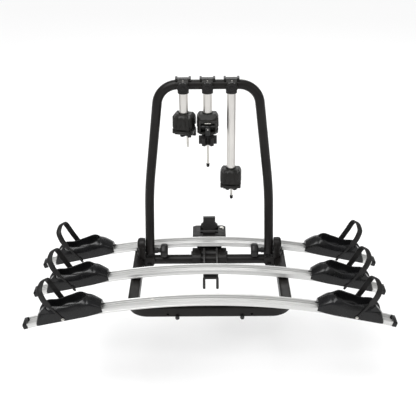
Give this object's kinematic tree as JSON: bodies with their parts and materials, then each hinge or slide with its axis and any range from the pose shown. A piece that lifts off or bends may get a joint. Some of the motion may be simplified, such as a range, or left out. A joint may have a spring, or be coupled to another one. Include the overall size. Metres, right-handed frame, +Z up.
{
  "type": "hitch mounted bike rack",
  "caption": "Platform bicycle carrier that clamps on a tow ball, with arched wheel rails, ratchet-strap wheel trays and a folding hoop with frame-holding arms.",
  "frame": {"origin": "centre of the tow ball that the rack clamps on", "axes": "+X to the right seen from behind the car, along the wheel rails; +Y towards the car; +Z up"},
  "size_m": [1.2234, 0.5232, 0.7374],
  "materials": {
    "silver_rail": "satin anodised",
    "silver_tube": "satin anodised",
    "strap": "matt moulded",
    "black_powder_coat": "satin powder coat",
    "coupling_black": "satin",
    "zinc_steel": "zinc plated",
    "black_bolt": "black oxide",
    "claw_plastic": "fine texture",
    "knob_plastic": "fine texture",
    "tray_plastic": "satin moulded"
  },
  "bodies": {
    "coupling": {"coupling_body": "coupling_black", "coupling_pins": "zinc_steel"},
    "coupling_lever": {"coupling_lever": "coupling_black"},
    "lock_cylinder": {"lock_cylinder": "zinc_steel"},
    "clamp_jaw": {"clamp_jaw": "coupling_black"},
    "platform": {"base_frame": "black_powder_coat", "cross_tube": "black_powder_coat", "center_bracket": "black_powder_coat", "hinge_brackets": "black_powder_coat", "frame_studs": "black_bolt", "platform_pins": "zinc_steel", "rail_end_caps": "tray_plastic", "rail_bolts": "zinc_steel", "wheel_rail_front": "silver_rail", "wheel_rail_middle": "silver_rail", "wheel_rail_rear": "silver_rail"},
    "tilt_pedal": {"tilt_pedal": "coupling_black"},
    "hoop": {"hoop_tube": "black_powder_coat", "hoop_feet": "black_powder_coat"},
    "hoop_knob_left": {"hoop_knob_left": "knob_plastic"},
    "hoop_knob_right": {"hoop_knob_right": "knob_plastic"},
    "arm_left": {"arm_clamp_left": "claw_plastic", "arm_tube_left": "silver_tube"},
    "arm_knob_left": {"arm_knob_left": "knob_plastic"},
    "claw_body_left": {"claw_body_left": "claw_plastic"},
    "claw_jaw_left": {"claw_jaw_left": "claw_plastic"},
    "claw_bolt_left": {"claw_bolt_left": "zinc_steel"},
    "claw_knob_left": {"claw_knob_left": "claw_plastic"},
    "arm_middle": {"arm_clamp_middle": "claw_plastic", "arm_tube_middle": "silver_tube"},
    "arm_knob_middle": {"arm_knob_middle": "knob_plastic"},
    "claw_body_middle": {"claw_body_middle": "claw_plastic"},
    "claw_jaw_middle": {"claw_jaw_middle": "claw_plastic"},
    "claw_bolt_middle": {"claw_bolt_middle": "zinc_steel"},
    "claw_knob_middle": {"claw_knob_middle": "claw_plastic"},
    "arm_right": {"arm_clamp_right": "claw_plastic", "arm_tube_right": "silver_tube"},
    "arm_knob_right": {"arm_knob_right": "knob_plastic"},
    "claw_body_right": {"claw_body_right": "claw_plastic"},
    "claw_jaw_right": {"claw_jaw_right": "claw_plastic"},
    "claw_bolt_right": {"claw_bolt_right": "zinc_steel"},
    "claw_knob_right": {"claw_knob_right": "claw_plastic"},
    "wheel_tray_front_left": {"wheel_tray_front_left": "tray_plastic", "wheel_strap_front_left": "strap"},
    "strap_buckle_front_left": {"strap_buckle_front_left": "tray_plastic"},
    "wheel_tray_front_right": {"wheel_tray_front_right": "tray_plastic", "wheel_strap_front_right": "strap"},
    "strap_buckle_front_right": {"strap_buckle_front_right": "tray_plastic"},
    "wheel_tray_middle_left": {"wheel_tray_middle_left": "tray_plastic", "wheel_strap_middle_left": "strap"},
    "strap_buckle_middle_left": {"strap_buckle_middle_left": "tray_plastic"},
    "wheel_tray_middle_right": {"wheel_tray_middle_right": "tray_plastic", "wheel_strap_middle_right": "strap"},
    "strap_buckle_middle_right": {"strap_buckle_middle_right": "tray_plastic"},
    "wheel_tray_rear_left": {"wheel_tray_rear_left": "tray_plastic", "wheel_strap_rear_left": "strap"},
    "strap_buckle_rear_left": {"strap_buckle_rear_left": "tray_plastic"},
    "wheel_tray_rear_right": {"wheel_tray_rear_right": "tray_plastic", "wheel_strap_rear_right": "strap"},
    "strap_buckle_rear_right": {"strap_buckle_rear_right": "tray_plastic"}
  },
  "joints": [
    {"name": "lever_hinge", "type": "hinge", "parent": "coupling", "child": "coupling_lever", "pos_m": [0, 0.012, 0.082], "axis": [1, 0, 0], "range_deg": [0, 60]},
    {"name": "clamp_jaw_hinge", "type": "hinge", "parent": "coupling", "child": "clamp_jaw", "pos_m": [0, 0.038, 0.034], "axis": [1, 0, 0], "range_deg": [0, 18]},
    {"name": "lock_turn", "type": "hinge", "parent": "coupling", "child": "lock_cylinder", "pos_m": [0.046, 0.016, 0.09], "axis": [0, 0, 1], "range_deg": [0, 90]},
    {"name": "platform_tilt", "type": "hinge", "parent": "coupling", "child": "platform", "pos_m": [0, -0.048, 0.022], "axis": [1, 0, 0], "range_deg": [0, 35]},
    {"name": "pedal_hinge", "type": "hinge", "parent": "platform", "child": "tilt_pedal", "pos_m": [0.004, -0.091, 0.025], "axis": [1, 0, 0], "range_deg": [0, 12], "stiffness_Nm_per_rad": 8, "springref_deg": -20.05},
    {"name": "hoop_fold", "type": "hinge", "parent": "platform", "child": "hoop", "pos_m": [0, -0.101, 0.068], "axis": [1, 0, 0], "range_deg": [0, 75]},
    {"name": "hoop_knob_left_turn", "type": "hinge", "parent": "platform", "child": "hoop_knob_left", "pos_m": [-0.17, -0.101, 0.068], "axis": [-1, 0, 0], "range_deg": [0, 180]},
    {"name": "hoop_knob_right_turn", "type": "hinge", "parent": "platform", "child": "hoop_knob_right", "pos_m": [0.17, -0.101, 0.068], "axis": [1, 0, 0], "range_deg": [0, 180]},
    {"name": "arm_left_swing", "type": "hinge", "parent": "hoop", "child": "arm_left", "pos_m": [-0.082, -0.101, 0.69], "axis": [1, 0, 0], "range_deg": [-100, 0]},
    {"name": "arm_knob_left_turn", "type": "hinge", "parent": "arm_left", "child": "arm_knob_left", "pos_m": [-0.082, -0.136, 0.69], "axis": [0, 1, 0], "range_deg": [0, 180]},
    {"name": "claw_left_swivel", "type": "hinge", "parent": "arm_left", "child": "claw_body_left", "pos_m": [-0.082, -0.101, 0.583], "axis": [0, 0, 1], "range_deg": [-9, 15]},
    {"name": "claw_bolt_left_swing", "type": "hinge", "parent": "claw_body_left", "child": "claw_bolt_left", "pos_m": [-0.07165, -0.06236, 0.559], "axis": [-0.9659, 0.2588, 0], "range_deg": [-80, 0]},
    {"name": "claw_knob_left_travel", "type": "slide", "parent": "claw_bolt_left", "child": "claw_knob_left", "axis": [0, 0, -1], "range_m": [0, 0.03]},
    {"name": "claw_jaw_left_hinge", "type": "hinge", "parent": "claw_body_left", "child": "claw_jaw_left", "pos_m": [-0.08821, -0.12418, 0.543], "axis": [-0.9659, 0.2588, 0], "range_deg": [0, 28]},
    {"name": "arm_middle_swing", "type": "hinge", "parent": "hoop", "child": "arm_middle", "pos_m": [-0.003, -0.101, 0.69], "axis": [1, 0, 0], "range_deg": [-100, 0]},
    {"name": "arm_knob_middle_turn", "type": "hinge", "parent": "arm_middle", "child": "arm_knob_middle", "pos_m": [-0.003, -0.136, 0.69], "axis": [0, 1, 0], "range_deg": [0, 180]},
    {"name": "claw_middle_swivel", "type": "hinge", "parent": "arm_middle", "child": "claw_body_middle", "pos_m": [-0.003, -0.101, 0.583], "axis": [0, 0, 1], "range_deg": [-10, 10]},
    {"name": "claw_bolt_middle_swing", "type": "hinge", "parent": "claw_body_middle", "child": "claw_bolt_middle", "pos_m": [-0.003, -0.141, 0.559], "axis": [1, 0, 0], "range_deg": [-80, 0]},
    {"name": "claw_knob_middle_travel", "type": "slide", "parent": "claw_bolt_middle", "child": "claw_knob_middle", "axis": [0, 0, -1], "range_m": [0, 0.03]},
    {"name": "claw_jaw_middle_hinge", "type": "hinge", "parent": "claw_body_middle", "child": "claw_jaw_middle", "pos_m": [-0.003, -0.077, 0.543], "axis": [1, 0, 0], "range_deg": [0, 28]},
    {"name": "arm_right_swing", "type": "hinge", "parent": "hoop", "child": "arm_right", "pos_m": [0.075, -0.101, 0.69], "axis": [1, 0, 0], "range_deg": [-100, 0]},
    {"name": "arm_knob_right_turn", "type": "hinge", "parent": "arm_right", "child": "arm_knob_right", "pos_m": [0.075, -0.136, 0.69], "axis": [0, 1, 0], "range_deg": [0, 180]},
    {"name": "claw_right_swivel", "type": "hinge", "parent": "arm_right", "child": "claw_body_right", "pos_m": [0.075, -0.101, 0.384], "axis": [0, 0, 1], "range_deg": [-90, 90]},
    {"name": "claw_bolt_right_swing", "type": "hinge", "parent": "claw_body_right", "child": "claw_bolt_right", "pos_m": [0.07849, -0.06115, 0.36], "axis": [-0.9962, 0.0872, 0], "range_deg": [-80, 0]},
    {"name": "claw_knob_right_travel", "type": "slide", "parent": "claw_bolt_right", "child": "claw_knob_right", "axis": [0, 0, -1], "range_m": [0, 0.03]},
    {"name": "claw_jaw_right_hinge", "type": "hinge", "parent": "claw_body_right", "child": "claw_jaw_right", "pos_m": [0.07291, -0.12491, 0.344], "axis": [-0.9962, 0.0872, 0], "range_deg": [0, 28]},
    {"name": "tray_front_left_travel", "type": "hinge", "parent": "platform", "child": "wheel_tray_front_left", "pos_m": [0, -0.43, -2.042], "axis": [0, 1, 0], "range_deg": [-0.5, 1.6]},
    {"name": "buckle_front_left_hinge", "type": "hinge", "parent": "wheel_tray_front_left", "child": "strap_buckle_front_left", "pos_m": [-0.52202, -0.4565, 0.05189], "axis": [0, 1, 0], "range_deg": [0, 50]},
    {"name": "tray_front_right_travel", "type": "hinge", "parent": "platform", "child": "wheel_tray_front_right", "pos_m": [0, -0.43, -2.042], "axis": [0, -1, 0], "range_deg": [-0.5, 1.6]},
    {"name": "buckle_front_right_hinge", "type": "hinge", "parent": "wheel_tray_front_right", "child": "strap_buckle_front_right", "pos_m": [0.52202, -0.4565, 0.05189], "axis": [0, -1, 0], "range_deg": [0, 50]},
    {"name": "tray_middle_left_travel", "type": "hinge", "parent": "platform", "child": "wheel_tray_middle_left", "pos_m": [0, -0.24, -2.042], "axis": [0, 1, 0], "range_deg": [-0.5, 1.6]},
    {"name": "buckle_middle_left_hinge", "type": "hinge", "parent": "wheel_tray_middle_left", "child": "strap_buckle_middle_left", "pos_m": [-0.52202, -0.2665, 0.05189], "axis": [0, 1, 0], "range_deg": [0, 50]},
    {"name": "tray_middle_right_travel", "type": "hinge", "parent": "platform", "child": "wheel_tray_middle_right", "pos_m": [0, -0.24, -2.042], "axis": [0, -1, 0], "range_deg": [-0.5, 1.6]},
    {"name": "buckle_middle_right_hinge", "type": "hinge", "parent": "wheel_tray_middle_right", "child": "strap_buckle_middle_right", "pos_m": [0.52202, -0.2665, 0.05189], "axis": [0, -1, 0], "range_deg": [0, 50]},
    {"name": "tray_rear_left_travel", "type": "hinge", "parent": "platform", "child": "wheel_tray_rear_left", "pos_m": [0, -0.05, -2.042], "axis": [0, 1, 0], "range_deg": [-0.5, 1.6]},
    {"name": "buckle_rear_left_hinge", "type": "hinge", "parent": "wheel_tray_rear_left", "child": "strap_buckle_rear_left", "pos_m": [-0.52202, -0.0765, 0.05189], "axis": [0, 1, 0], "range_deg": [0, 50]},
    {"name": "tray_rear_right_travel", "type": "hinge", "parent": "platform", "child": "wheel_tray_rear_right", "pos_m": [0, -0.05, -2.042], "axis": [0, -1, 0], "range_deg": [-0.5, 1.6]},
    {"name": "buckle_rear_right_hinge", "type": "hinge", "parent": "wheel_tray_rear_right", "child": "strap_buckle_rear_right", "pos_m": [0.52202, -0.0765, 0.05189], "axis": [0, -1, 0], "range_deg": [0, 50]}
  ],
  "couplings": [
    {"joint": "clamp_jaw_hinge", "follows": "lever_hinge", "ratio": 0.3},
    {"joint": "claw_jaw_left_hinge", "follows": "claw_knob_left_travel", "rad_per_m": 16.273},
    {"joint": "claw_jaw_middle_hinge", "follows": "claw_knob_middle_travel", "rad_per_m": 16.273},
    {"joint": "claw_jaw_right_hinge", "follows": "claw_knob_right_travel", "rad_per_m": 16.273}
  ]
}
